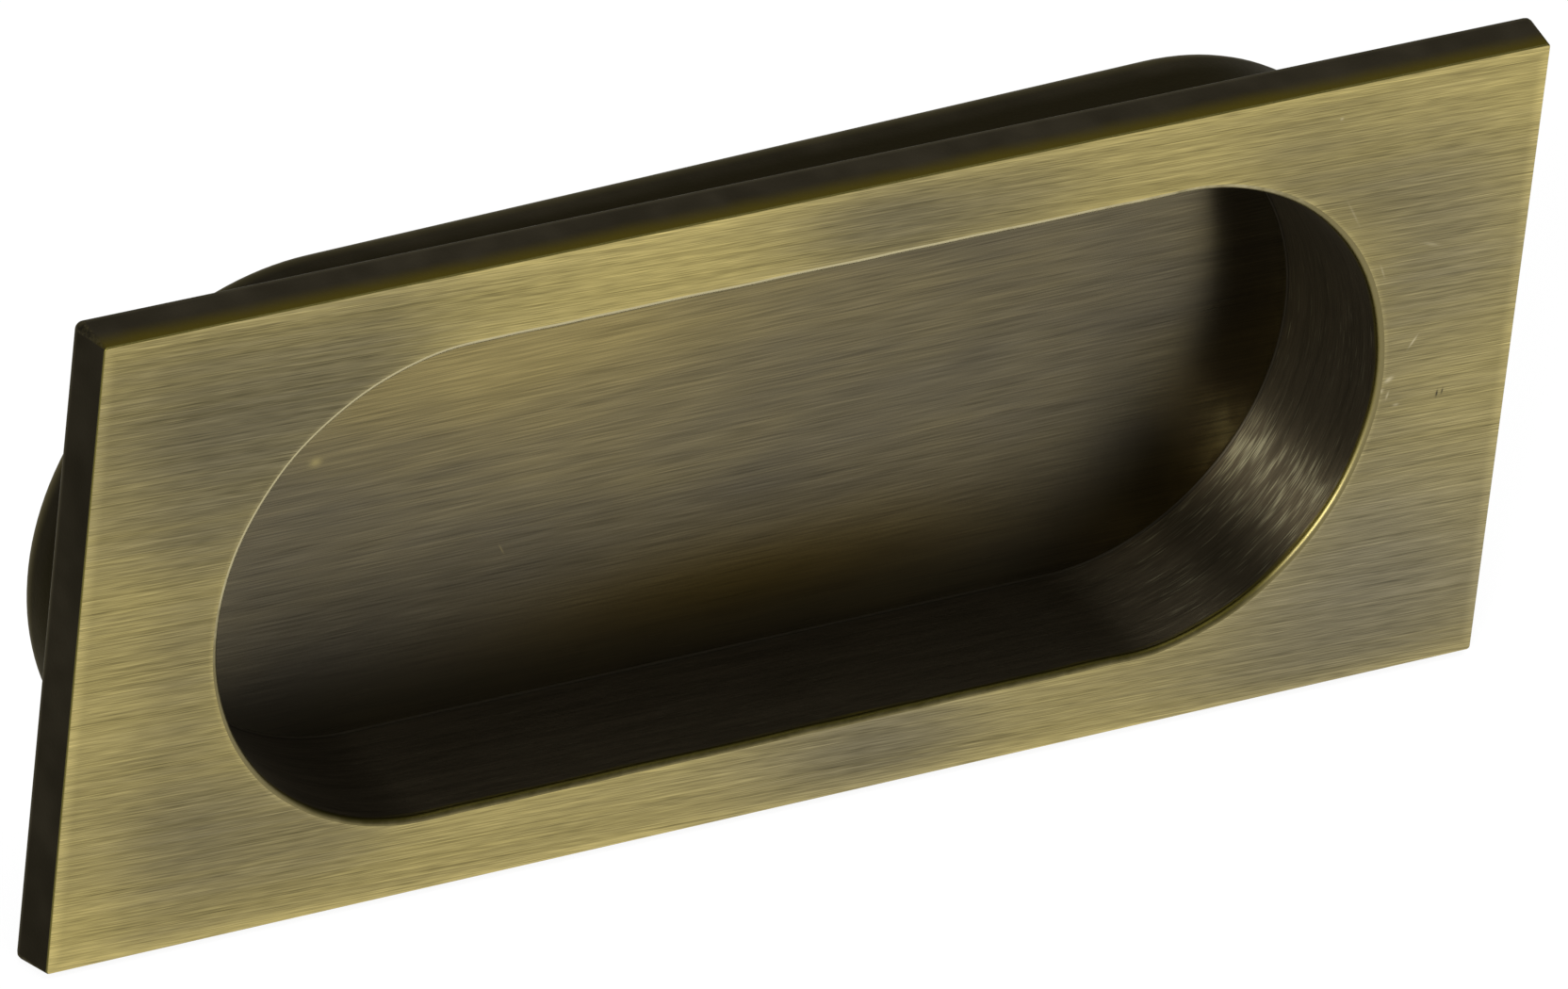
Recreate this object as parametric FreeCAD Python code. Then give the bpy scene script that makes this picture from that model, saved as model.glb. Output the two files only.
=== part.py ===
"""Rectangular pocket door pull, cast in brass as one piece.

A flat plate lies on the face of the door. A finger recess with round ends is sunk into it,
and the body around that recess goes into a mortise in the door.

The front faces -Y, the long side runs along X and +Z is up. The origin is the centre of the
plate's back, the plane that seats on the door. All sizes are in millimetres.
"""
import FreeCAD, Part
import math
import os

# Plate, whose sides slope outwards from the face to the back
plate_face_width = 91.0
plate_face_height = 38.1
plate_thickness = 2.8
plate_draft_deg = 9.0
plate_front_corner_radius = 0.2
plate_back_corner_radius = 0.55
plate_front_edge_radius = 0.12
plate_back_edge_radius = 0.4

# Finger recess, with margins from its lip to the edges of the face
recess_side_margin = 4.65
recess_end_margin = 8.75
recess_depth = 8.75
recess_draft_deg = 2.0
recess_lip_edge_radius = 0.15
recess_floor_corner_radius = 0.12

# Body behind the plate, with walls measured from the recess's lip
side_wall = 1.9
end_wall = 5.95
floor_thickness = 2.45
body_back_edge_radius = 1.8
# The body sits slightly turned under its plate, anticlockwise as seen from the front
body_turn_deg = 1.3

# Depths, from the plate's front to the body's back
front = -plate_thickness
seat = 0.0
recess_floor = front + recess_depth
body_back = recess_floor + floor_thickness
body_root = (front + seat) / 2

# Outlines that follow from those sizes
plate_flare = plate_thickness * math.tan(math.radians(plate_draft_deg))
lip_end_radius = plate_face_height / 2 - recess_side_margin
lip_centre_span = plate_face_width - 2 * (recess_end_margin + lip_end_radius)
floor_end_radius = lip_end_radius - recess_depth * math.tan(math.radians(recess_draft_deg))
body_end_radius = lip_end_radius + side_wall
body_centre_span = lip_centre_span + 2 * (end_wall - side_wall)

CENTRE = FreeCAD.Vector(0, 0, 0)
TO_VIEWER = FreeCAD.Vector(0, -1, 0)
SAME_PLACE = Part.Precision.confusion()


def rectangle(width, height, depth):
    """Closed outline of a rectangle, parallel to the plate and centred on it."""
    right = width / 2
    top = height / 2
    corners = [(-right, -top), (right, -top), (right, top), (-right, top)]
    points = [FreeCAD.Vector(x, depth, z) for x, z in corners]
    return Part.makePolygon(points, True)


def obround(centre_span, end_radius, depth):
    """Closed outline of two straight sides and two half circles, parallel to the plate."""
    reach = centre_span / 2

    def point(x, z):
        return FreeCAD.Vector(x, depth, z)

    right_end = Part.Arc(
        point(reach, -end_radius), point(reach + end_radius, 0), point(reach, end_radius)
    )
    top_side = Part.LineSegment(point(reach, end_radius), point(-reach, end_radius))
    left_end = Part.Arc(
        point(-reach, end_radius), point(-reach - end_radius, 0), point(-reach, -end_radius)
    )
    bottom_side = Part.LineSegment(point(-reach, -end_radius), point(reach, -end_radius))
    outline = (right_end, top_side, left_end, bottom_side)
    return Part.Wire([curve.toShape() for curve in outline])


def lies_at(shape, depth):
    """Whether an edge or a face lies in the plane at this depth."""
    extent = shape.BoundBox
    return max(abs(extent.YMin - depth), abs(extent.YMax - depth)) < SAME_PLACE


def edges_at(solid, depth):
    """The edges of a solid that lie in the plane at this depth."""
    return [edge for edge in solid.Edges if lies_at(edge, depth)]


def corner_edges(solid):
    """The edges of a solid that run from the plate's front to its back."""
    return [edge for edge in solid.Edges if edge.BoundBox.YLength > plate_thickness / 2]


def lip_edges(solid):
    """The edges of the hole that the recess leaves in the plate's front face."""
    face = next(face for face in solid.Faces if lies_at(face, front))
    mouth = next(wire for wire in face.Wires if not wire.isSame(face.OuterWire))
    return mouth.Edges


def make_plate():
    """Plate with sloping sides, crisp front edges and corners that grow rounder to the back."""
    face = rectangle(plate_face_width, plate_face_height, front)
    back = rectangle(
        plate_face_width + 2 * plate_flare, plate_face_height + 2 * plate_flare, seat
    )
    plate = Part.makeLoft([face, back], True, True)
    plate = plate.makeFillet(
        plate_front_corner_radius, plate_back_corner_radius, corner_edges(plate)
    )
    plate = plate.makeFillet(plate_front_edge_radius, edges_at(plate, front))
    return plate.makeFillet(plate_back_edge_radius, edges_at(plate, seat))


def make_body():
    """Round-ended block that is rooted inside the plate and has a rounded back edge."""
    outline = obround(body_centre_span, body_end_radius, body_root)
    body = Part.Face(outline).extrude(FreeCAD.Vector(0, body_back - body_root, 0))
    body = body.makeFillet(body_back_edge_radius, edges_at(body, body_back))
    body.rotate(CENTRE, TO_VIEWER, body_turn_deg)
    return body


def make_recess():
    """The space in the recess, narrowing towards a flat floor with a small round corner."""
    lip = obround(lip_centre_span, lip_end_radius, front)
    floor_line = obround(lip_centre_span, floor_end_radius, recess_floor)
    space = Part.makeLoft([lip, floor_line], True, True)
    return space.makeFillet(recess_floor_corner_radius, edges_at(space, recess_floor))


def make_pull():
    """Plate and body in one piece, with the recess sunk in and its lip slightly rounded."""
    block = make_plate().fuse(make_body()).removeSplitter()
    pull = block.cut(make_recess())
    return pull.makeFillet(recess_lip_edge_radius, lip_edges(pull))


flush_pull = make_pull()
os.makedirs("parts", exist_ok=True)
flush_pull.exportStep("parts/flush_pull.step")
print("solids", len(flush_pull.Solids), "valid", flush_pull.isValid())
print("volume in cubic millimetres", round(flush_pull.Volume, 1))
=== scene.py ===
# %% [markdown]
# # A pocket door pull in brushed antique brass
# The real pull is one brass casting: a flat plate that lies on the door, a finger recess with
# round ends, and a body behind it that sinks into a mortise. This lesson dresses its CAD solid.
# The solid could be shown as it is, but then every surface would share one finish. Here the
# same form is modelled again from a few outlines, so that the brushed face, the recess and the
# dark sides each get a finish of their own, and so that its edges can show wear.

# %% Load the fixed frame
import math

import bmesh
import bpy
from mathutils import Matrix, Vector, noise


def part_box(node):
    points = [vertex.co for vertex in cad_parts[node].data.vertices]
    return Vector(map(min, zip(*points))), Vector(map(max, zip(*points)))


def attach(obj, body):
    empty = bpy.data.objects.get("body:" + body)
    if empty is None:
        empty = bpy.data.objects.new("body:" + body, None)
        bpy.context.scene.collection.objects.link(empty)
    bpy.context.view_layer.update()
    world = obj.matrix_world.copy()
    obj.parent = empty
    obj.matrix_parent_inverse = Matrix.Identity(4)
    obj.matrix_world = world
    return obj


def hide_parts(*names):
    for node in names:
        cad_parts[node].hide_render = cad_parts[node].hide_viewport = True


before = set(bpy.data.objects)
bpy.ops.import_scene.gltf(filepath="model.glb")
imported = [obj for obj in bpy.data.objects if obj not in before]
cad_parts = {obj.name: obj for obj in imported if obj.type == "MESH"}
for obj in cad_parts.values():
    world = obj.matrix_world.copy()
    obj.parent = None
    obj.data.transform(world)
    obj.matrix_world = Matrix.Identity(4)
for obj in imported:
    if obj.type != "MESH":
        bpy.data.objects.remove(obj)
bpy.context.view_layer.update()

MM = 0.001
low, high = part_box("flush_pull")
front = low[1]
back = high[1]
print("plate front and body back in mm:", round(front / MM, 2), round(back / MM, 2))

# %% [markdown]
# ## Sizes
# A maker would read these few sizes off the part. The plate's back lies on the plane y = 0, and
# depths grow into the door. The face's outline is smaller than the plate's back, because the
# plate's sides slope. The recess narrows a little towards its floor, as a casting does.

# %% Sizes of the plate, the recess and the body
face_half_width = 45.5 * MM
face_half_height = 19.05 * MM
side_slope = math.radians(9.0)
recess_side_margin = 4.65 * MM
recess_end_margin = 8.75 * MM
recess_depth = 8.75 * MM
recess_slope = math.radians(2.0)
body_side_wall = 1.9 * MM
body_end_wall = 5.95 * MM
body_turn = math.radians(1.3)

seat = 0.0
flare = -front * math.tan(side_slope)
recess_floor = front + recess_depth
lip_radius = face_half_height - recess_side_margin
floor_radius = lip_radius - recess_depth * math.tan(recess_slope)
half_span = face_half_width - recess_end_margin - lip_radius
body_radius = lip_radius + body_side_wall
body_half_span = half_span + body_end_wall - body_side_wall
recess_length = 2 * (half_span + lip_radius)
print("recess mouth in mm:", round(recess_length / MM, 2), round(2 * lip_radius / MM, 2))

# %% [markdown]
# ## A quarter of the recess
# The recess has two round ends joined by straight sides. One could draw its whole outline and
# extrude it, but its wall, corner and floor are all one profile that runs round the end and
# along the side. So the profile is spun a quarter turn about the middle of the round end and
# then extruded to the middle of the pull. A quarter is enough, because the rest is its mirror.

# %% Sweep a profile round the end and along the side
ARC_STEPS = 36
SIDE_RUN_STEPS = 18
TOUCHING = 1e-7


def parts_of(geometry, kind):
    """The vertices, edges or faces in what an operator gives back."""
    return [element for element in geometry if isinstance(element, kind)]


def sweep_quarter(mesh, profile, span):
    """Sweep points (distance from the end's middle, depth) round an end and along a side."""
    points = [mesh.verts.new((span + radius, depth, 0)) for radius, depth in profile]
    lines = [mesh.edges.new(pair) for pair in zip(points, points[1:])]
    swept = bmesh.ops.spin(
        mesh, geom=points + lines, cent=(span, 0, 0), axis=(0, -1, 0),
        angle=math.radians(90), steps=ARC_STEPS,
    )
    last_lines = parts_of(swept["geom_last"], bmesh.types.BMEdge)
    run = bmesh.ops.extrude_edge_only(mesh, edges=last_lines)["geom"]
    bmesh.ops.translate(mesh, verts=parts_of(run, bmesh.types.BMVert), vec=(-span, 0, 0))
    long_lines = [edge for edge in mesh.edges if abs(edge.calc_length() - span) < TOUCHING]
    cuts = SIDE_RUN_STEPS - 1
    bmesh.ops.subdivide_edges(mesh, edges=long_lines, cuts=cuts, use_grid_fill=True)
    bmesh.ops.remove_doubles(mesh, verts=mesh.verts, dist=TOUCHING)


pull = bmesh.new()
recess_profile = [(lip_radius, front), (floor_radius, recess_floor), (0, recess_floor)]
sweep_quarter(pull, recess_profile, half_span)
print("quarter of the recess:", len(pull.faces), "faces")

# %% [markdown]
# ## The plate round the recess
# The face fills the space between the recess's lip and a rectangle. Filling it with one polygon
# would leave long thin triangles. Instead, a quarter of the rectangle is cut into as many
# lengths as the lip has, and a bridge joins the two lines with four-sided faces. The side is
# the same line extruded back to the seat and scaled up a little, which gives it its slope.

# %% Bridge the lip to the plate's outline and extrude the side
END_EDGE_STEPS = 16
TOP_EDGE_STEPS = ARC_STEPS + SIDE_RUN_STEPS - END_EDGE_STEPS


def lies_at(edge, depth):
    """Whether both ends of an edge are at a depth."""
    return all(abs(vertex.co.y - depth) < TOUCHING for vertex in edge.verts)


lip_line = [edge for edge in pull.edges if edge.is_boundary and lies_at(edge, front)]
corners = [
    pull.verts.new((x, front, z))
    for x, z in ((face_half_width, 0), (face_half_width, face_half_height), (0, face_half_height))
]
end_edge, top_edge = [pull.edges.new(pair) for pair in zip(corners, corners[1:])]
bmesh.ops.subdivide_edges(pull, edges=[end_edge], cuts=END_EDGE_STEPS - 1)
bmesh.ops.subdivide_edges(pull, edges=[top_edge], cuts=TOP_EDGE_STEPS - 1)
outline = [edge for edge in pull.edges if edge.is_wire]
bmesh.ops.bridge_loops(pull, edges=lip_line + outline)
side = bmesh.ops.extrude_edge_only(pull, edges=outline)["geom"]
side_back = parts_of(side, bmesh.types.BMVert)
bmesh.ops.translate(pull, verts=side_back, vec=(0, seat - front, 0))
growth = (1 + flare / face_half_width, 1, 1 + flare / face_half_height)
bmesh.ops.scale(pull, verts=side_back, vec=growth)
print("quarter of the plate:", len(pull.faces), "faces,", len(outline), "lengths in its outline")

# %% [markdown]
# ## From a quarter to the whole
# The pull is the same left and right of its middle, and above and below it. Modelling all four
# quarters would be four times the work, and small differences would creep in. So the quarter is
# mirrored twice, and the points on the two mirror planes are merged.

# %% Mirror the quarter
def mirror_whole(mesh):
    """Mirror a quarter to the left and then downwards, joined along the mirror planes."""
    for axis in "XZ":
        everything = mesh.verts[:] + mesh.edges[:] + mesh.faces[:]
        bmesh.ops.mirror(mesh, geom=everything, axis=axis, merge_dist=TOUCHING)


mirror_whole(pull)
print("plate and recess:", len(pull.faces), "faces")

# %% [markdown]
# ## The body behind the plate
# The body is a block with the recess's outline, thicker at its ends. The same sweep makes it
# from its own profile. It sits slightly turned under its plate, so it is made on its own,
# turned, and then bridged to the plate's back.

# %% Sweep the body, turn it and join it to the plate
body = bmesh.new()
sweep_quarter(body, [(body_radius, seat), (body_radius, back), (0, back)], body_half_span)
mirror_whole(body)
turned = Matrix.Rotation(body_turn, 3, Vector((0, -1, 0)))
bmesh.ops.rotate(body, verts=body.verts, cent=(0, 0, 0), matrix=turned)
body_mesh = bpy.data.meshes.new("body")
body.to_mesh(body_mesh)
body.free()
pull.from_mesh(body_mesh)
bpy.data.meshes.remove(body_mesh)

open_lines = [edge for edge in pull.edges if edge.is_boundary]
bmesh.ops.bridge_loops(pull, edges=open_lines)
bmesh.ops.recalc_face_normals(pull, faces=pull.faces)
still_open = sum(edge.is_boundary for edge in pull.edges)
print("pull:", len(pull.faces), "faces,", still_open, "open edges, volume in cubic mm",
      round(pull.calc_volume() / MM ** 3, 1))

# %% [markdown]
# ## Rounding an edge
# A bevel rounds an edge over several segments. How far it reaches from the edge depends on the
# angle between the two faces, so the reach is worked out from the radius and that angle. The
# edges could be listed by number, but the numbers change with every step before. So they are
# found by how sharp they are, their depth, and how far they lie from the spine, the line
# between the middles of the round ends.

# %% Find sharp edges and round them off
SHARP = math.radians(40)


def from_spine(point):
    """Distance, seen from the front, from the line between the middles of the round ends."""
    return math.hypot(max(abs(point.x) - half_span, 0), point.z)


def sharp_edges(depth, nearest, farthest):
    """Sharp edges that lie at a depth, between two distances from the spine."""
    return [
        edge for edge in pull.edges
        if edge.calc_face_angle(0) > SHARP and lies_at(edge, depth)
        and nearest < from_spine(edge.verts[0].co) < farthest
    ]


def round_off(edges, radius, segments):
    """Bevel edges to a radius, and give back the new faces."""
    reach = radius * math.tan(edges[0].calc_face_angle() / 2)
    return bmesh.ops.bevel(
        pull, geom=edges, offset=reach, offset_type="OFFSET", affect="EDGES", segments=segments,
        profile=0.5, material=-1, clamp_overlap=False,
    )["faces"]


print("sharp edges:", sum(edge.calc_face_angle(0) > SHARP for edge in pull.edges))

# %% [markdown]
# ## Edges of the plate
# The plate's front edge is crisp and its back edge softer, and its corners grow rounder towards
# the back. A bevel gives a corner one radius all the way, so the front end of each corner is
# scaled down afterwards. At the depth of the back there is also the inner corner between plate
# and body. That one stays sharp, so only the edges that point outwards are taken there.

# %% Bevel the plate's corners and edges
FRONT_CORNER = 0.2 * MM
BACK_CORNER = 0.55 * MM
FRONT_EDGE = 0.12 * MM
BACK_EDGE = 0.4 * MM
CORNER_REACH = 1.1 * BACK_CORNER

plate_corners = [
    edge for edge in pull.edges
    if edge.calc_face_angle(0) > SHARP
    and abs(edge.verts[0].co.y - edge.verts[1].co.y) > -front / 2
]
round_off(plate_corners, BACK_CORNER, 6)
shrink = (FRONT_CORNER / BACK_CORNER,) * 3
for x in (-face_half_width, face_half_width):
    for z in (-face_half_height, face_half_height):
        corner = Vector((x, front, z))
        arc = [vertex for vertex in pull.verts if (vertex.co - corner).length < CORNER_REACH]
        bmesh.ops.scale(pull, verts=arc, vec=shrink, space=Matrix.Translation(-corner))

lip_zone = lip_radius + recess_side_margin / 2
rim_faces = round_off(sharp_edges(front, lip_zone, math.inf), FRONT_EDGE, 3)
plate_back = [edge for edge in sharp_edges(seat, 0, math.inf) if edge.is_convex]
round_off(plate_back, BACK_EDGE, 4)
print("plate's edges:", len(plate_corners), "corners,", len(rim_faces), "faces on the rim")

# %% [markdown]
# ## The lip of the recess
# The lip was eased by hand, so it is softer than the rim and not quite even. A bevel alone would
# be too perfect. Each point of the rounded lip is moved a few hundredths of a millimetre in or
# out, by a smooth noise that changes slowly along the lip.

# %% Round the lip and let it sway
LIP_EDGE = 0.35 * MM
LIP_SWAY = 0.05 * MM
LIP_SWAY_WAVES = 4.0


def away_from_spine(point):
    """Direction, seen from the front, that leads straight away from the spine."""
    nearest_x = max(-half_span, min(half_span, point.x))
    return Vector((point.x - nearest_x, 0, point.z)).normalized()


lip_faces = round_off(sharp_edges(front, 0, lip_zone), LIP_EDGE, 8)
lip_points = {vertex for face in lip_faces for vertex in face.verts}
for point in lip_points:
    sway = LIP_SWAY * noise.noise(point.co * (LIP_SWAY_WAVES / lip_radius))
    bmesh.ops.translate(pull, verts=[point], vec=away_from_spine(point.co) * sway)
print("lip:", len(lip_faces), "faces,", len(lip_points), "points")

# %% [markdown]
# ## The recess floor and the body's back
# The floor meets the wall in a small, almost sharp corner. The body's back edge is well rounded,
# so that the pull slides into its mortise. One bevel over all edges would round both alike, so
# each is found by its depth and gets a radius of its own.

# %% Bevel the floor's corner and the body's back edge
FLOOR_CORNER = 0.12 * MM
BODY_BACK_EDGE = 1.8 * MM

body_zone = body_radius + body_end_wall
round_off(sharp_edges(recess_floor, 0, lip_radius), FLOOR_CORNER, 3)
round_off(sharp_edges(back, 0, body_zone), BODY_BACK_EDGE, 10)
print("rounded pull:", len(pull.faces), "faces")

# %% [markdown]
# ## Which finish goes where
# The face was brushed along its length, so there the brass shows through the dark patina. The
# recess floor was brushed too, but stayed darker. The wall was brushed round its curve. The
# sides and the back kept the patina, and the lip was rubbed bright and has a painted highlight.
# Painting these areas by hand would be slow. Each is a material slot instead, and a face's depth
# and place say which it takes.

# %% Sort the faces into finishes
FINISHES = ("brushed_face", "lip_wear_and_highlight", "recess_floor", "recess_wall", "dark_patina")
on_rim = set(rim_faces)
on_lip = set(lip_faces)


def finish_of(face):
    """Name of the finish on one face of the mesh."""
    middle = face.calc_center_median()
    if face in on_lip:
        return "lip_wear_and_highlight"
    if face in on_rim or middle.y < front + TOUCHING:
        return "brushed_face"
    if from_spine(middle) < lip_radius and middle.y < recess_floor + TOUCHING:
        return "recess_floor" if middle.y > recess_floor - TOUCHING else "recess_wall"
    return "dark_patina"


for face in pull.faces:
    face.smooth = True
    face.material_index = FINISHES.index(finish_of(face))
for edge in pull.edges:
    edge.smooth = edge.calc_face_angle(0) < SHARP
for number, finish in enumerate(FINISHES):
    print(finish, sum(face.material_index == number for face in pull.faces), "faces")

# %% [markdown]
# ## One object for the whole pull
# Smooth shading bends the light on the flat faces beside a rounded edge. A weighted normal
# modifier keeps them flat, and its result is taken into the mesh, so nothing live is left.
# Brushed metal smears its reflections one way. Where no tangent is linked, that way comes from
# the mesh's texture space. Its middle is set far to the left, so that the direction hardly
# turns from one end of the pull to the other.

# %% Make the object and hand it to the frame
pull_mesh = bpy.data.meshes.new("antique_pull")
pull.to_mesh(pull_mesh)
pull.free()
antique_pull = bpy.data.objects.new("antique_pull", pull_mesh)
bpy.context.collection.objects.link(antique_pull)
flat_faces = antique_pull.modifiers.new("flat faces", "WEIGHTED_NORMAL")
flat_faces.keep_sharp = True
evaluated = antique_pull.evaluated_get(bpy.context.evaluated_depsgraph_get())
pull_mesh = bpy.data.meshes.new_from_object(evaluated)
antique_pull.modifiers.clear()
antique_pull.data = pull_mesh
pull_mesh.use_auto_texspace = False
pull_mesh.texspace_location = (-3 * face_half_width, (front + recess_floor) / 2, 0)
pull_mesh.texspace_size = (face_half_width,) * 3
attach(antique_pull, "root")
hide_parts("flush_pull")
print("pull object:", len(pull_mesh.vertices), "vertices")

# %% [markdown]
# ## Writing shader maths
# A finish is a small network of nodes. Adding each node by hand hides the idea behind it, so
# one class wraps a socket and lets the maths be written as plain Python expressions.

# %% A socket that can be used in expressions
class Wire:
    """An output socket of a material's nodes. Arithmetic on it adds Math nodes."""

    def __init__(self, tree, socket):
        self.tree = tree
        self.socket = socket

    def node(self, kind, settings=None, inputs=None, output=0):
        """Add a node: its settings first, then the values or links of its sockets."""
        made = self.tree.nodes.new(kind)
        for name, value in (settings or {}).items():
            setattr(made, name, value)
        for name, value in (inputs or {}).items():
            if isinstance(value, Wire):
                self.tree.links.new(value.socket, made.inputs[name])
            else:
                made.inputs[name].default_value = value
        return Wire(self.tree, made.outputs[output] if made.outputs else None)

    def math(self, operation, other=0.0):
        """Add a Math node on this value and another."""
        return self.node("ShaderNodeMath", {"operation": operation}, {0: self, 1: other})

    def __add__(self, other):
        return self.math("ADD", other)

    def __sub__(self, other):
        return self.math("SUBTRACT", other)

    def __mul__(self, other):
        return self.math("MULTIPLY", other)

    def __truediv__(self, other):
        return self.math("DIVIDE", other)

    def __pow__(self, other):
        return self.math("POWER", other)

    def __neg__(self):
        return self.math("MULTIPLY", -1.0)

    def __abs__(self):
        return self.math("ABSOLUTE")

    def __rsub__(self, other):
        return -self + other

    __radd__ = __add__
    __rmul__ = __mul__

    def rise(self, low, high):
        """Go smoothly from 0 at the low value to 1 at the high value."""
        return self.node(
            "ShaderNodeMapRange", {"interpolation_type": "SMOOTHSTEP"},
            {"Value": self, "From Min": low, "From Max": high},
        )

    def blend(self, first, second):
        """Mix two colours, with this value as the share of the second."""
        return self.node(
            "ShaderNodeMix", {"data_type": "RGBA"}, {0: self, 6: first, 7: second}, output=2,
        )

    def scaled(self, factor):
        """A vector or colour, multiplied by one value."""
        return self.node("ShaderNodeVectorMath", {"operation": "SCALE"}, {0: self, "Scale": factor})


def rgb(red, green, blue):
    """A colour written as linear light."""
    return (red, green, blue, 1.0)


print("shader maths ready")

# %% [markdown]
# ## Starting and ending a finish
# Every finish here is bare metal under a thin patina, so they all start from the place on the
# object and end in the same metal shader. The place is taken in millimetres on the object's own
# coordinates, so a mark keeps its size. Writing that once leaves each finish with its own story.

# %% Start and end a finish
def start_finish(name):
    """Make a material and give its place on the object, in millimetres."""
    material = bpy.data.materials.new(name)
    material.use_nodes = True
    tree = material.node_tree
    tree.nodes.clear()
    place = Wire(tree, None).node("ShaderNodeTexCoord", output="Object")
    antique_pull.data.materials.append(material)
    return place.scaled(1 / MM)


def axes(place):
    """The three coordinates of a place."""
    return [
        place.node("ShaderNodeSeparateXYZ", inputs={0: place}, output=axis) for axis in "XYZ"
    ]


def finish_metal(place, colour, roughness, height, relief, **constants):
    """End a finish in a metal shader, with a fine relief given in millimetres."""
    bump = place.node(
        "ShaderNodeBump", inputs={"Height": height, "Distance": relief * MM, "Strength": 1.0},
        output="Normal",
    )
    metal = place.node(
        "ShaderNodeBsdfPrincipled",
        inputs={
            "Base Color": colour, "Metallic": 1.0, "Roughness": roughness, "Normal": bump,
            **{name.replace("_", " ").title(): value for name, value in constants.items()},
        },
    )
    place.node("ShaderNodeOutputMaterial", inputs={"Surface": metal})


print("finishes to make:", len(FINISHES))

# %% [markdown]
# ## Brush marks
# Brushing leaves fine scratches that are long one way and narrow the other. A wave texture
# would repeat too evenly, so the marks are noise that is stretched along the brush's path. The
# brush ran at a slight angle to the pull's length, and its strokes are not quite straight.

# %% Stretch noise into brush marks
BRUSH_LEAN = math.tan(math.radians(2.3))
STROKE_SWAY = 0.25


def marks(place, size, detail=2.0, seed=0.0):
    """Noise from 0 to 1 whose marks have this size along each axis, in millimetres."""
    stretch = place.node("ShaderNodeVectorMath", {"operation": "DIVIDE"}, {0: place, 1: size})
    return place.node(
        "ShaderNodeTexNoise", {"noise_dimensions": "4D"},
        {"Vector": stretch, "W": seed, "Scale": 1.0, "Detail": detail, "Roughness": 0.75},
    )


def brush_path(place):
    """The place with its height taken across brush strokes that lean and sway a little."""
    x, y, z = axes(place)
    sway = marks(place, (30.0, 30.0, 15.0), detail=0.0, seed=7.0) - 0.5
    across = z + BRUSH_LEAN * x + STROKE_SWAY * sway
    return place.node("ShaderNodeCombineXYZ", inputs={"X": x, "Y": y, "Z": across})


print("brush leans by", round(BRUSH_LEAN, 3), "mm in each mm")

# %% [markdown]
# ## Patches and nicks on the face
# The patina wasn't rubbed off evenly. Some patches of the face stayed brown or grey, and a few
# are brighter than the rest. Noise would put such patches anywhere, so each is a soft spot
# placed where this pull has it. A nick is a spot too, but a very small and narrow one. Each row
# gives a spot's middle, its spread along and across, its turn in degrees and its strength.

# %% Place soft spots
FACE_PATINA = (
    (-37.0, 12.0, 11.0, 7.0, 0, 0.62), (4.0, 16.5, 7.5, 3.0, -3, 0.6),
    (40.0, 8.0, 5.0, 6.0, 0, 0.3), (35.0, 11.5, 5.0, 3.0, 0, 0.25),
    (38.0, -14.5, 10.0, 5.5, 0, 0.5), (28.0, -17.0, 10.0, 3.0, 0, 0.22),
    (6.0, -16.6, 7.5, 3.0, -3, 0.5), (-36.5, -12.5, 6.0, 5.0, 0, 0.4),
    (-38.5, -1.0, 3.0, 8.0, 0, 0.25), (37.0, 0.0, 2.5, 7.0, 0, 0.25),
    (38.0, -9.0, 4.0, 3.0, 0, 0.15), (-12.0, 16.5, 9.0, 3.0, 0, -0.25),
    (44.0, 17.0, 4.0, 3.0, 0, -0.25), (-44.0, -17.0, 3.0, 3.0, 0, -0.25),
    (-28.0, -13.5, 4.5, 4.0, 0, 0.28), (-28.0, 16.0, 4.5, 4.0, 0, 0.22),
    (12.0, 16.5, 4.0, 3.0, 0, 0.2), (29.5, 14.5, 4.0, 2.5, 0, 0.22),
)
GREY_PATCHES = (
    (38.0, -12.0, 12.0, 8.0, 0, 0.6), (41.0, 6.0, 5.0, 8.0, 0, 0.3),
    (4.0, -16.0, 12.0, 4.0, 0, 0.3),
)
BRIGHT_NICKS = (
    (37.5, -0.24, 0.26, 0.14, 20, 0.7), (37.06, -0.88, 0.16, 0.12, 0, 0.6),
    (37.54, -1.24, 0.22, 0.07, 75, 0.5), (38.2, -1.95, 0.18, 0.08, 0, 0.4),
    (38.82, 1.89, 0.34, 0.06, 55, 0.7), (36.15, 6.8, 0.4, 0.05, -67, 0.3),
    (39.2, 7.9, 0.5, 0.1, -20, 0.25), (32.1, 17.1, 0.1, 0.08, 0, 0.5),
    (33.7, 10.9, 0.8, 0.06, -60, 0.2),
)
DARK_NICKS = ((40.88, -1.8, 0.2, 0.07, 85, 1.0), (41.22, -1.72, 0.17, 0.06, 80, 0.9))


def spots(x, z, places):
    """Spots that fade like bells: middle x and z, spread along and across in mm, turn, strength."""
    def spot(middle_x, middle_z, along_spread, across_spread, turn, strength):
        sine, cosine = math.sin(math.radians(turn)), math.cos(math.radians(turn))
        off_x, off_z = x - middle_x, z - middle_z
        along = (cosine * off_x + sine * off_z) / along_spread
        across = (cosine * off_z - sine * off_x) / across_spread
        return strength * (-(along * along + across * across)).math("EXPONENT")

    return sum(spot(*row) for row in places)


print("face:", len(FACE_PATINA), "patches,", len(BRIGHT_NICKS) + len(DARK_NICKS), "nicks")

# %% [markdown]
# ## The brushed face
# On the face the brush ran along the pull. The brass shines through in long fine lines, darker
# in the patches. Near the outer edge and the lip it was rubbed brighter, and the rounded rim on
# the left and at the top stayed olive. The shader is also stretched along the lines, so that
# reflections blur across them.

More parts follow.
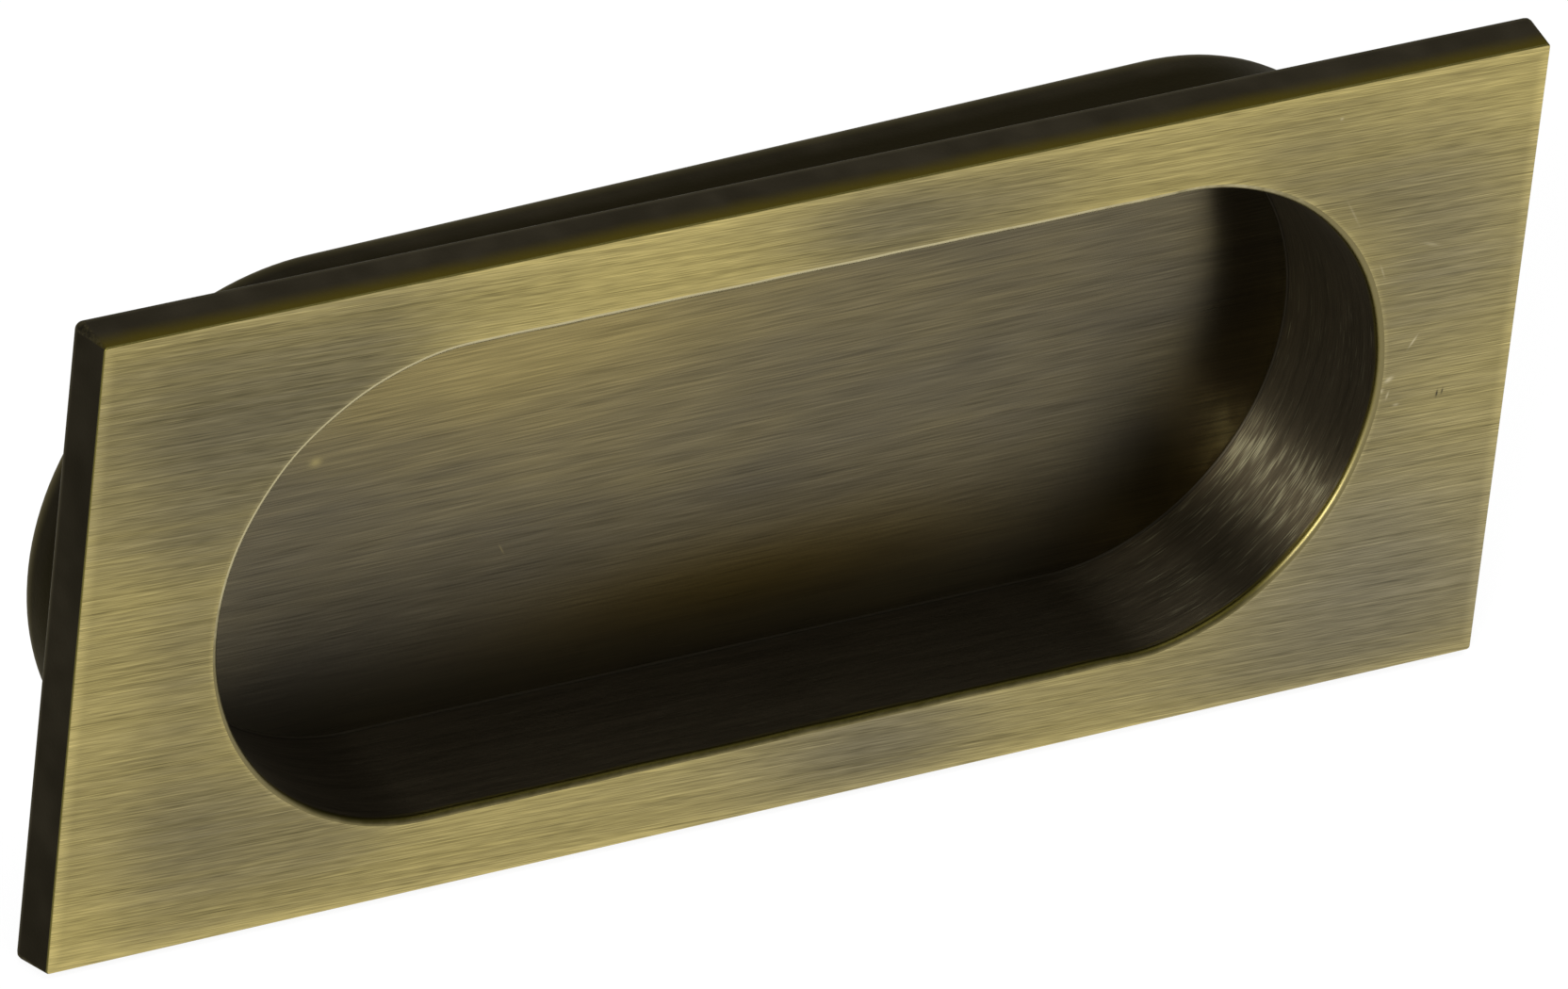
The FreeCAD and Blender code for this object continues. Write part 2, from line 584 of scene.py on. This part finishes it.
# %% Brushed face
ALONG_THE_LENGTH = 0.25
BRIGHT_BRASS = rgb(0.43, 0.352, 0.128)
BROWN_BRASS = rgb(0.165, 0.142, 0.083)
GREY_BRASS = rgb(0.225, 0.2, 0.135)
FRESH_NICK = rgb(0.66, 0.58, 0.37)
OLD_NICK = rgb(0.06, 0.05, 0.03)
OLIVE_RIM = rgb(0.1, 0.086, 0.022)
RIM_FADE = 0.04


def brushed_face():
    """Brass in fine lines, browner in patches, with rubbed edges, nicks and an olive rim."""
    place = start_finish("brushed_face")
    x, y, z = axes(place)
    path = brush_path(place)
    grain = marks(path, (1.5, 1.0, 0.05), detail=0.0, seed=6.0)
    fine = marks(path, (9.0, 1.0, 0.08), detail=1.0, seed=1.0)
    medium = marks(path, (60.0, 1.0, 0.6), seed=2.0)
    cloud = marks(path, (20.0, 1.0, 7.0), detail=1.0, seed=3.0)
    glint = marks(path, (5.0, 1.0, 0.09), detail=0.0, seed=4.0)

    tarnish = 0.28 + spots(x, z, FACE_PATINA) + 0.4 * (cloud - 0.5) + 0.5 * (medium - 0.5)
    brass = tarnish.rise(-0.1, 1.1).blend(BRIGHT_BRASS, BROWN_BRASS)
    greyed = spots(x, z, GREY_PATCHES).blend(brass, GREY_BRASS)

    half_width, half_height = face_half_width / MM, face_half_height / MM
    reach = (abs(x) - half_span / MM).math("MAXIMUM", 0.0)
    from_lip = (reach * reach + z * z) ** 0.5 - lip_radius / MM
    from_edge = (half_width - abs(x)).math("MINIMUM", half_height - abs(z))
    rubbed = 0.3 * from_edge.rise(0.9, 0.1) + 0.5 * cloud * from_lip.rise(0.65, 0.3)
    lines = 0.7 * grain + 1.2 * fine + 0.8 * medium - 0.36 + 0.25 * glint.rise(0.64, 0.74)
    brushed = greyed.scaled(lines * (1.0 + rubbed))

    nicked = spots(x, z, BRIGHT_NICKS).blend(brushed, FRESH_NICK)
    scratched = spots(x, z, DARK_NICKS).blend(nicked, OLD_NICK)
    rim = FRONT_EDGE / MM
    left_rim = (-x).rise(half_width - rim, half_width - rim + RIM_FADE)
    top_rim = z.rise(half_height - rim, half_height - rim + RIM_FADE)
    dull_rim = (y - front / MM).rise(0.0, 0.03) * left_rim.math("MAXIMUM", top_rim)
    colour = dull_rim.blend(scratched, OLIVE_RIM)
    roughness = 0.36 + 0.08 * tarnish - 0.1 * (fine - 0.5)
    finish_metal(place, colour, roughness, fine + 0.5 * medium, 0.004, anisotropic=0.75,
                 anisotropic_rotation=ALONG_THE_LENGTH)


brushed_face()
print("finishes so far:", len(antique_pull.data.materials))

# %% [markdown]
# ## The rubbed lip and its painted highlight
# Fingers and the maker's cloth rub a lip first, so here the brass is pale. At the top and on
# the left it is palest, because a painted highlight lies there. Deeper in, and sooner on the
# lower side, the lip turns to olive patina, and on the lower side painted shade darkens it.
# An even line would look painted, so a noise shifts both borders.

# %% Rubbed lip
PALE_BRASS_HIGHLIGHT = rgb(0.5, 0.44, 0.25)
DULL_BRASS = rgb(0.2, 0.168, 0.075)
OLIVE_PATINA = rgb(0.14, 0.116, 0.03)
SHADED_OLIVE = rgb(0.05, 0.042, 0.009)


def lip_wear_and_highlight():
    """Pale brass with painted highlight top left; olive deeper in; duller right; painted shade
    below.
    """
    place = start_finish("lip_wear_and_highlight")
    x, y, z = axes(place)
    rub = marks(place, (1.2, 1.2, 1.2), seed=5.0)
    # Painted highlight: the lip's brass is paler towards the top and the left.
    lip_highlight = (z - 0.22 * x + 12.0 * (rub - 0.5)).rise(5.0, 13.0)
    pale_and_lit = lip_highlight.blend(DULL_BRASS, PALE_BRASS_HIGHLIGHT)
    # Painted shade: the olive patina is darker on the lower side of the lip.
    lower_lip_shade = (-z).rise(10.0, 13.0)
    patina = lower_lip_shade.blend(OLIVE_PATINA, SHADED_OLIVE)
    olive = (y - front / MM + 0.15 * (rub - 0.5) + 0.1 * lower_lip_shade).rise(0.05, 0.24)
    finish_metal(place, olive.blend(pale_and_lit, patina), 0.34 + 0.1 * rub, rub, 0.01)


lip_wear_and_highlight()
print("finishes so far:", len(antique_pull.data.materials))

# %% [markdown]
# ## The recess floor
# The floor was brushed the same way as the face, but more of the patina stayed, so it is
# darker and browner. A painted highlight makes it more golden under the upper lip and at the
# right end. Painted shade makes it olive and almost black along the lower wall, and dark in
# spots towards the right end. Soft spots place those areas, as on the face.

# %% Recess floor
FLOOR_GOLD_AND_HIGHLIGHT = (
    (-15.0, 8.0, 14.0, 5.0, 0, 0.9), (5.0, 9.0, 20.0, 6.0, 0, 0.25),
    (-4.0, -1.0, 14.0, 3.0, 0, 0.15), (37.5, -1.0, 3.0, 7.0, 0, 0.55),
    (30.0, -11.5, 4.0, 3.5, 0, 0.8),
)
OLIVE_SHADE_ON_FLOOR = ((2.0, -10.0, 23.0, 4.0, 0, 1.0),)
FLOOR_SHADE_SPOTS = (
    (-26.0, -10.0, 16.0, 4.5, 8, 0.8), (27.0, -2.5, 4.0, 5.5, 0, 0.5),
    (-6.0, -5.0, 28.0, 2.5, 0, 0.22), (32.0, 8.0, 2.5, 4.0, 0, 0.4),
    (18.0, 4.0, 10.0, 6.0, 0, 0.12), (22.0, -7.5, 6.0, 3.5, 0, 0.35),
    (-27.0, -5.0, 5.0, 4.0, 0, 0.25), (31.5, -5.5, 3.0, 3.5, 0, 0.45),
)
FLOOR_NICKS = ((-26.0, 3.44, 0.35, 0.25, 0, 0.8), (-13.56, -4.58, 0.3, 0.05, -60, 0.3))
BROWN_FLOOR_BRASS = rgb(0.108, 0.094, 0.064)
GOLDEN_AND_LIT_FLOOR_BRASS = rgb(0.275, 0.22, 0.09)
SHADED_OLIVE_BRASS = rgb(0.074, 0.052, 0.015)
SHADED_FLOOR_BRASS = rgb(0.05, 0.044, 0.032)
FLOOR_NICK_BRASS = rgb(0.34, 0.28, 0.12)


def recess_floor_finish():
    """Brown brass in fine lines, with a painted highlight, painted olive and dark shade, two nicks.
    """
    place = start_finish("recess_floor")
    x, _, z = axes(place)
    fine = marks(place, (5.0, 1.0, 0.08), detail=1.0, seed=11.0)
    medium = marks(place, (24.0, 1.0, 0.5), seed=12.0)
    cloud = marks(place, (18.0, 1.0, 6.0), seed=13.0)
    # Painted highlight: golden spots under the upper lip and at the right end, with cloud noise.
    golden_and_lit = spots(x, z, FLOOR_GOLD_AND_HIGHLIGHT) + 0.8 * (cloud - 0.5) + 0.3 * (medium - 0.5)
    brass = golden_and_lit.rise(-0.3, 1.1).blend(BROWN_FLOOR_BRASS, GOLDEN_AND_LIT_FLOOR_BRASS)
    # Painted shade: olive and dark spots, mostly along the lower wall and towards the right end.
    olive = spots(x, z, OLIVE_SHADE_ON_FLOOR).blend(brass, SHADED_OLIVE_BRASS)
    dark = spots(x, z, FLOOR_SHADE_SPOTS).blend(olive, SHADED_FLOOR_BRASS)
    brushed = dark.scaled(1.3 * fine + 0.5 * medium + 0.1)
    colour = spots(x, z, FLOOR_NICKS).blend(brushed, FLOOR_NICK_BRASS)
    finish_metal(place, colour, 0.3 - 0.1 * fine, fine + 0.5 * medium, 0.003, anisotropic=0.9,
                 anisotropic_rotation=ALONG_THE_LENGTH)


recess_floor_finish()
print("finishes so far:", len(antique_pull.data.materials))

# %% [markdown]
# ## The recess wall
# On the wall the marks run round the curve, so the noise is narrow in depth and long in the
# other two directions. The patina is thick here. On the right of the wall it is worn through in
# streaks, and a painted highlight makes them bright. A hard threshold would make the streaks
# look like painted dashes, so they rise slowly. The wall is olive under the lip, and painted
# shade darkens the corner at the floor.

# %% Recess wall
WORN_AND_LIT_WALL = (
    (34.0, -8.1, 3.0, 6.0, 55, 1.0), (28.0, -13.0, 5.0, 5.0, 20, 0.5),
    (36.5, 1.0, 3.0, 5.0, 0, 0.4),
)
DARK_WALL = rgb(0.031, 0.0255, 0.016)
BROWN_WALL = rgb(0.06, 0.049, 0.031)
WORN_STREAK_HIGHLIGHT = rgb(0.19, 0.175, 0.11)
OLIVE_UNDER_LIP = rgb(0.1, 0.082, 0.012)
CORNER_SHADE = rgb(0.03, 0.025, 0.016)


def recess_wall_finish():
    """Dark patina with marks round the wall, worn streaks with painted highlight, olive lip,
    painted shade in the corner.
    """
    place = start_finish("recess_wall")
    x, y, z = axes(place)
    fine = marks(place, (3.0, 0.12, 3.0), seed=21.0)
    medium = marks(place, (8.0, 0.45, 8.0), seed=22.0)
    short = marks(place, (2.0, 0.09, 2.0), detail=1.0, seed=23.0)
    patch = marks(place, (2.5, 0.9, 2.5), detail=1.0, seed=24.0)
    patina = (fine + medium).rise(0.6, 1.4).blend(DARK_WALL, BROWN_WALL)
    # Painted highlight on the worn streaks at the lower right of the wall.
    wear_and_highlight = spots(x, z, WORN_AND_LIT_WALL)
    streaks_and_highlight = (0.34 * wear_and_highlight * patch.rise(0.2, 0.7) + short).rise(0.64, 1.0)
    streaked = streaks_and_highlight.blend(patina.scaled(1.0 + 0.3 * wear_and_highlight), WORN_STREAK_HIGHLIGHT)
    under_lip = (y - front / MM + medium - 0.5).rise(0.55, 0.15)
    # Painted shade in the corner where the wall meets the floor.
    corner_shade_mask = (recess_floor / MM - y).rise(0.16, 0.1)
    colour = corner_shade_mask.blend(under_lip.blend(streaked, OLIVE_UNDER_LIP), CORNER_SHADE)
    finish_metal(place, colour, 0.52 - 0.12 * fine, fine + medium, 0.02, anisotropic=0.9)


recess_wall_finish()
print("finishes so far:", len(antique_pull.data.materials))

# %% [markdown]
# ## Dark patina
# The sides of the plate and the body behind it were never brushed. They keep the dark brown
# patina of the finish, with the fine grain of the casting under it. One dark colour would look
# like plastic, so the colour changes: olive near the face, lighter at the worn corners, lighter
# on the plate's back edge, which is rubbed and carries a painted highlight, lighter on the round
# back with a painted reflection, and darkest on the body close behind the plate, with painted
# shade.

# %% Dark patina
DARK_BROWN = rgb(0.0135, 0.0115, 0.0079)
LIGHT_BROWN = rgb(0.0235, 0.02, 0.0136)
OLIVE_SIDE = rgb(0.06, 0.046, 0.006)
RUBBED_EDGE_HIGHLIGHT = rgb(0.06, 0.053, 0.035)
PAINTED_SHADE_BEHIND_PLATE = rgb(0.009, 0.0075, 0.0045)
BACK_REFLECTION = rgb(0.085, 0.072, 0.034)
WORN_CORNER = rgb(0.1, 0.084, 0.04)
GREY_SHEEN = rgb(0.6, 0.58, 0.52)


def dark_patina():
    """Brown patina over cast grain, olive near the face, worn edges, painted highlight, reflection
    and shade.
    """
    place = start_finish("dark_patina")
    x, y, z = axes(place)
    grain = marks(place, (0.25, 0.25, 0.25), detail=3.0, seed=31.0)
    cloud = marks(place, (5.0, 5.0, 5.0), seed=32.0)
    patina = cloud.rise(0.3, 0.75).blend(DARK_BROWN, LIGHT_BROWN)
    past_end = (abs(x) - face_half_width / MM).rise(-0.15, 0.0)
    past_side = (abs(z) - face_half_height / MM).rise(-0.15, 0.0)
    near_front = (y - front / MM + 0.6 * (cloud - 0.5)).rise(1.4, 0.0)
    olive = (past_side * near_front).blend(patina.scaled(1.0 + 0.35 * past_side), OLIVE_SIDE)
    on_plate = past_end.math("MAXIMUM", past_side)
    # Painted highlight along the plate's rubbed back edge.
    back_edge_wear_and_highlight = on_plate * y.rise(-0.6, -0.25) * (0.3 + 0.9 * grain)
    edged = back_edge_wear_and_highlight.blend(olive, RUBBED_EDGE_HIGHLIGHT)
    # Painted shade on the body close behind the plate.
    shade_behind_plate = y.rise(0.0, 1.0) * y.rise(6.4, 5.0)
    shaded = shade_behind_plate.blend(edged, PAINTED_SHADE_BEHIND_PLATE)
    # Painted reflection: the body's round back is lighter, as if it mirrored the bright floor.
    back_reflection_mask = y.rise(6.3, 7.7) * (back / MM - y).rise(0.0, 0.3)
    rubbed = (back_reflection_mask * (0.2 + 0.8 * cloud + 0.8 * grain)).blend(shaded, BACK_REFLECTION)
    worn_corner = 0.5 * past_end * past_side * grain.rise(0.35, 0.65)
    colour = worn_corner.blend(rubbed, WORN_CORNER)
    finish_metal(place, colour, 0.42 + 0.12 * grain, grain, 0.01, specular_tint=GREY_SHEEN)


dark_patina()
print("finishes:", [slot.name for slot in antique_pull.material_slots])

# %% [markdown]
# ## Floor and surroundings
# The pull stands on a plain white floor. Lighting a grey floor until it looks white would also
# bleach the brass. Instead the floor shows white by itself to the camera and in reflections,
# and keeps a share of plain matt paint for the pull's soft shadow. The world adds a little even
# light from all sides.

# %% Floor and world
FLOOR_HALF_WIDTH = 3.0
WHITE_SHARE = 0.86
WORLD_LIGHT = 0.4


def white_floor():
    """A large flat floor under the pull."""
    floor_mesh = bmesh.new()
    bmesh.ops.create_grid(floor_mesh, x_segments=1, y_segments=1, size=FLOOR_HALF_WIDTH)
    bmesh.ops.translate(floor_mesh, verts=floor_mesh.verts, vec=(0, 0, low[2]))
    mesh = bpy.data.meshes.new("floor")
    floor_mesh.to_mesh(mesh)
    floor_mesh.free()
    floor = bpy.data.objects.new("floor", mesh)
    bpy.context.collection.objects.link(floor)
    return floor


def seen_directly(start):
    """1 where the camera, a reflection or a view through glass meets the surface, else 0."""
    path = [
        start.node("ShaderNodeLightPath", output=f"Is {kind} Ray")
        for kind in ("Camera", "Glossy", "Transmission")
    ]
    return path[0].math("MAXIMUM", path[1]).math("MAXIMUM", path[2])


floor = white_floor()
floor_paint = bpy.data.materials.new("white_floor")
floor_paint.use_nodes = True
floor_paint.node_tree.nodes.clear()
start = Wire(floor_paint.node_tree, None)
matt = start.node("ShaderNodeBsdfDiffuse", inputs={"Color": rgb(0.95, 0.95, 0.95)})
white = start.node("ShaderNodeEmission", inputs={"Color": rgb(1, 1, 1), "Strength": 1.04})
surface = start.node(
    "ShaderNodeMixShader", inputs={0: WHITE_SHARE * seen_directly(start), 1: matt, 2: white},
)
start.node("ShaderNodeOutputMaterial", inputs={"Surface": surface})
floor.data.materials.append(floor_paint)

world = bpy.data.worlds.new("soft_studio")
bpy.context.scene.world = world
world.use_nodes = True
world.node_tree.nodes["Background"].inputs["Color"].default_value = rgb(1, 1, 1)
world.node_tree.nodes["Background"].inputs["Strength"].default_value = WORLD_LIGHT
bpy.context.scene.view_settings.view_transform = "Standard"
print("floor at", round(low[2] / MM, 2), "mm")

# %% [markdown]
# ## Soft boxes
# Brushed metal shows what stands around it, so its light comes from large soft lamps and not
# from points. One in front at the left lights the face, one above fills the recess, and a weak
# one behind gives the dark upper sides an edge.

# %% Soft boxes
# Name, azimuth and elevation in degrees, distance and width in metres, power in watts
SOFT_BOXES = (
    ("key_soft_box", -48, 21, 0.9, 0.35, 8.0),
    ("top_soft_box", 20, 75, 0.9, 0.6, 3.0),
    ("back_soft_box", 138, 40, 0.9, 0.6, 1.1),
)


def around(azimuth, elevation, roll):
    """Turn that makes +Z point at a viewer; azimuth 0 is straight in front, on -Y."""
    return (
        Matrix.Rotation(math.radians(azimuth), 4, "Z")
        @ Matrix.Rotation(math.radians(90 - elevation), 4, "X")
        @ Matrix.Rotation(math.radians(roll), 4, "Z")
    )


def soft_box(name, azimuth, elevation, distance, size, power):
    """A square lamp that faces the pull from an azimuth and elevation in degrees."""
    lamp = bpy.data.lights.new(name, "AREA")
    lamp.shape = "SQUARE"
    lamp.size = size
    lamp.energy = power
    holder = bpy.data.objects.new(name, lamp)
    bpy.context.collection.objects.link(holder)
    holder.matrix_world = around(azimuth, elevation, 0) @ Matrix.Translation((0, 0, distance))


for row in SOFT_BOXES:
    soft_box(*row)
print("soft boxes:", len(SOFT_BOXES))

# %% [markdown]
# ## Camera
# The camera looks from the front left and from above. It stands far away with a long lens, so
# that the plate's long edges stay almost parallel, and it is slightly rolled.

# %% Camera
VIEW_LENS = 443.9
VIEW_AZIMUTH = -34.99
VIEW_ELEVATION = 29.26
VIEW_ROLL = 6.49
VIEW_DISTANCE = 1.0389
VIEW_CENTRE = Vector((-0.05, -0.48, -0.66)) * MM

camera_data = bpy.data.cameras.new("camera")
camera_data.sensor_width = 36.0
camera_data.lens = VIEW_LENS
camera = bpy.data.objects.new("camera", camera_data)
bpy.context.collection.objects.link(camera)
bpy.context.scene.camera = camera
camera.matrix_world = (
    Matrix.Translation(VIEW_CENTRE)
    @ around(VIEW_AZIMUTH, VIEW_ELEVATION, VIEW_ROLL)
    @ Matrix.Translation((0, 0, VIEW_DISTANCE))
)
print("camera at", [round(c, 4) for c in camera.matrix_world.translation])
